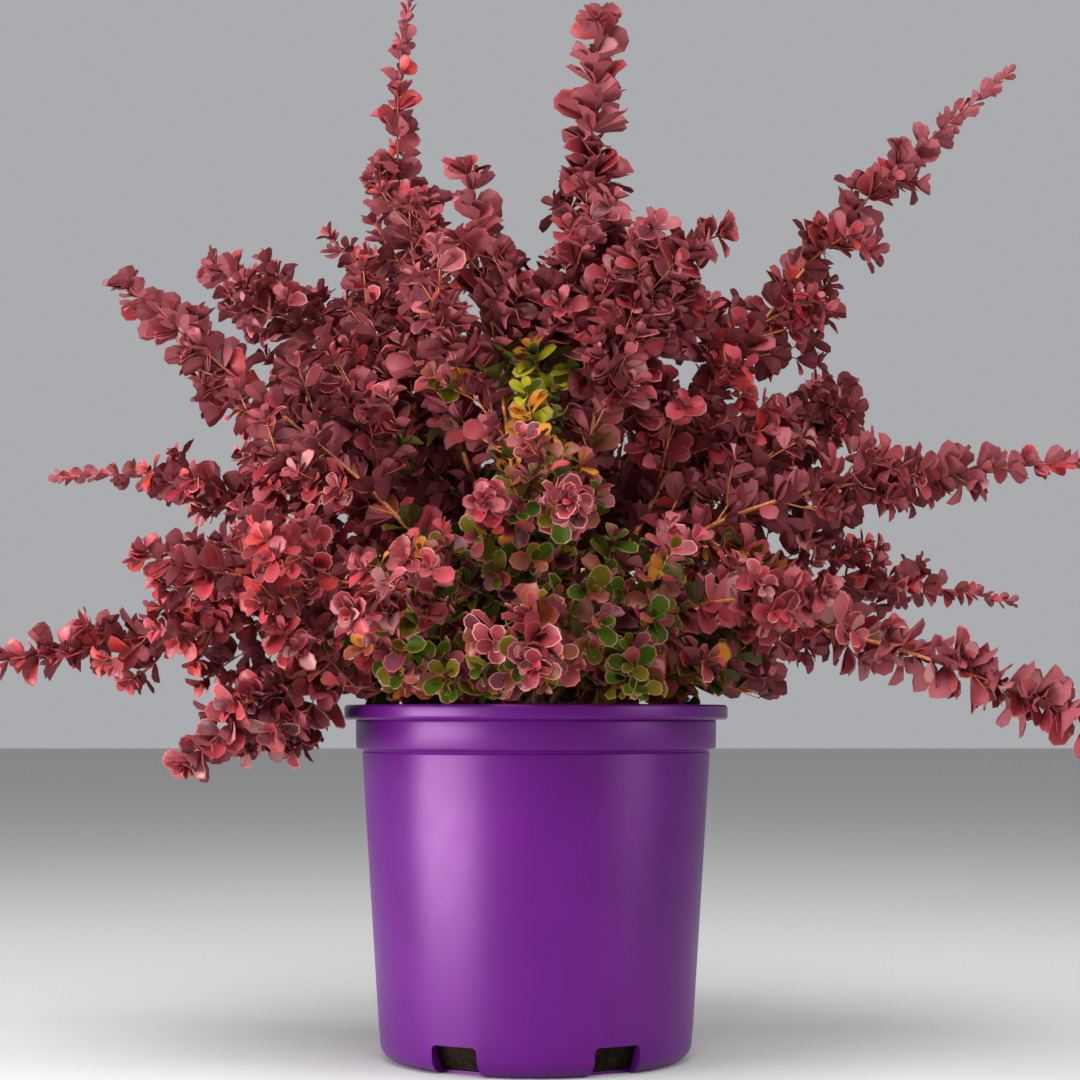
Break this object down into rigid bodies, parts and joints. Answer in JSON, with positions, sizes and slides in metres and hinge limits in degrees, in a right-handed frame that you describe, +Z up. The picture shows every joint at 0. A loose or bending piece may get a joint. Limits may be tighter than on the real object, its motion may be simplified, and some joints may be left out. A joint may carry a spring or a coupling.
{
  "type": "potted barberry shrub",
  "caption": "Deciduous barberry with wine-red leaves on arching, spiky canes, standing in its round purple nursery pot.",
  "frame": {"origin": "centre of the pot's flat underside", "axes": "+Z up, -Y towards the viewer of the picture, +X to the viewer's right"},
  "size_m": [0.7186, 0.5501, 0.6541],
  "materials": {
    "pot": "satin moulded purple plastic",
    "soil": "loose dark bark and peat mix",
    "stem": "ridged brown bark",
    "foliage": "satin wine-red leaves"
  },
  "bodies": {
    "root": {"pot": "pot", "soil": "soil", "stem_base": "stem", "bough_back_spire": "stem", "foliage_back_spire": "foliage", "bough_left_spire": "stem", "foliage_left_spire": "foliage", "bough_inner_spire": "stem", "foliage_inner_spire": "foliage", "bough_middle_spire": "stem", "foliage_middle_spire": "foliage", "bough_right_spire": "stem", "foliage_right_spire": "foliage", "bough_right_crest": "stem", "foliage_right_crest": "foliage", "bough_back_right_crest": "stem", "foliage_back_right_crest": "foliage", "bough_back_tuft": "stem", "foliage_back_tuft": "foliage", "bough_back_left_crest": "stem", "foliage_back_left_crest": "foliage", "bough_left_crest": "stem", "foliage_left_crest": "foliage", "bough_left_shoulder": "stem", "foliage_left_shoulder": "foliage", "bough_left_short": "stem", "foliage_left_short": "foliage", "foliage_front_left_tuft": "foliage", "foliage_front_tuft": "foliage", "bough_right_shoulder": "stem", "foliage_right_shoulder": "foliage", "bough_right_long": "stem", "foliage_right_long": "foliage", "bough_right_lance": "stem", "foliage_right_lance": "foliage", "bough_back_right_low": "stem", "foliage_back_right_low": "foliage", "bough_back_low": "stem", "foliage_back_low": "foliage", "bough_back_left_low": "stem", "foliage_back_left_low": "foliage", "bough_left_lance": "stem", "foliage_left_lance": "foliage", "bough_left_long": "stem", "foliage_left_long": "foliage", "foliage_left_drooping": "foliage", "foliage_front_left_low": "foliage", "foliage_front_drooping": "foliage", "foliage_front_right_low": "foliage", "bough_right_drooping": "stem", "foliage_right_drooping": "foliage", "foliage_skirt_right": "foliage", "foliage_skirt_back_right": "foliage", "foliage_skirt_back": "foliage", "foliage_skirt_back_left": "foliage", "foliage_skirt_left": "foliage", "foliage_skirt_front_left": "foliage", "foliage_skirt_front": "foliage", "foliage_skirt_front_right": "foliage"}
  },
  "joints": []
}
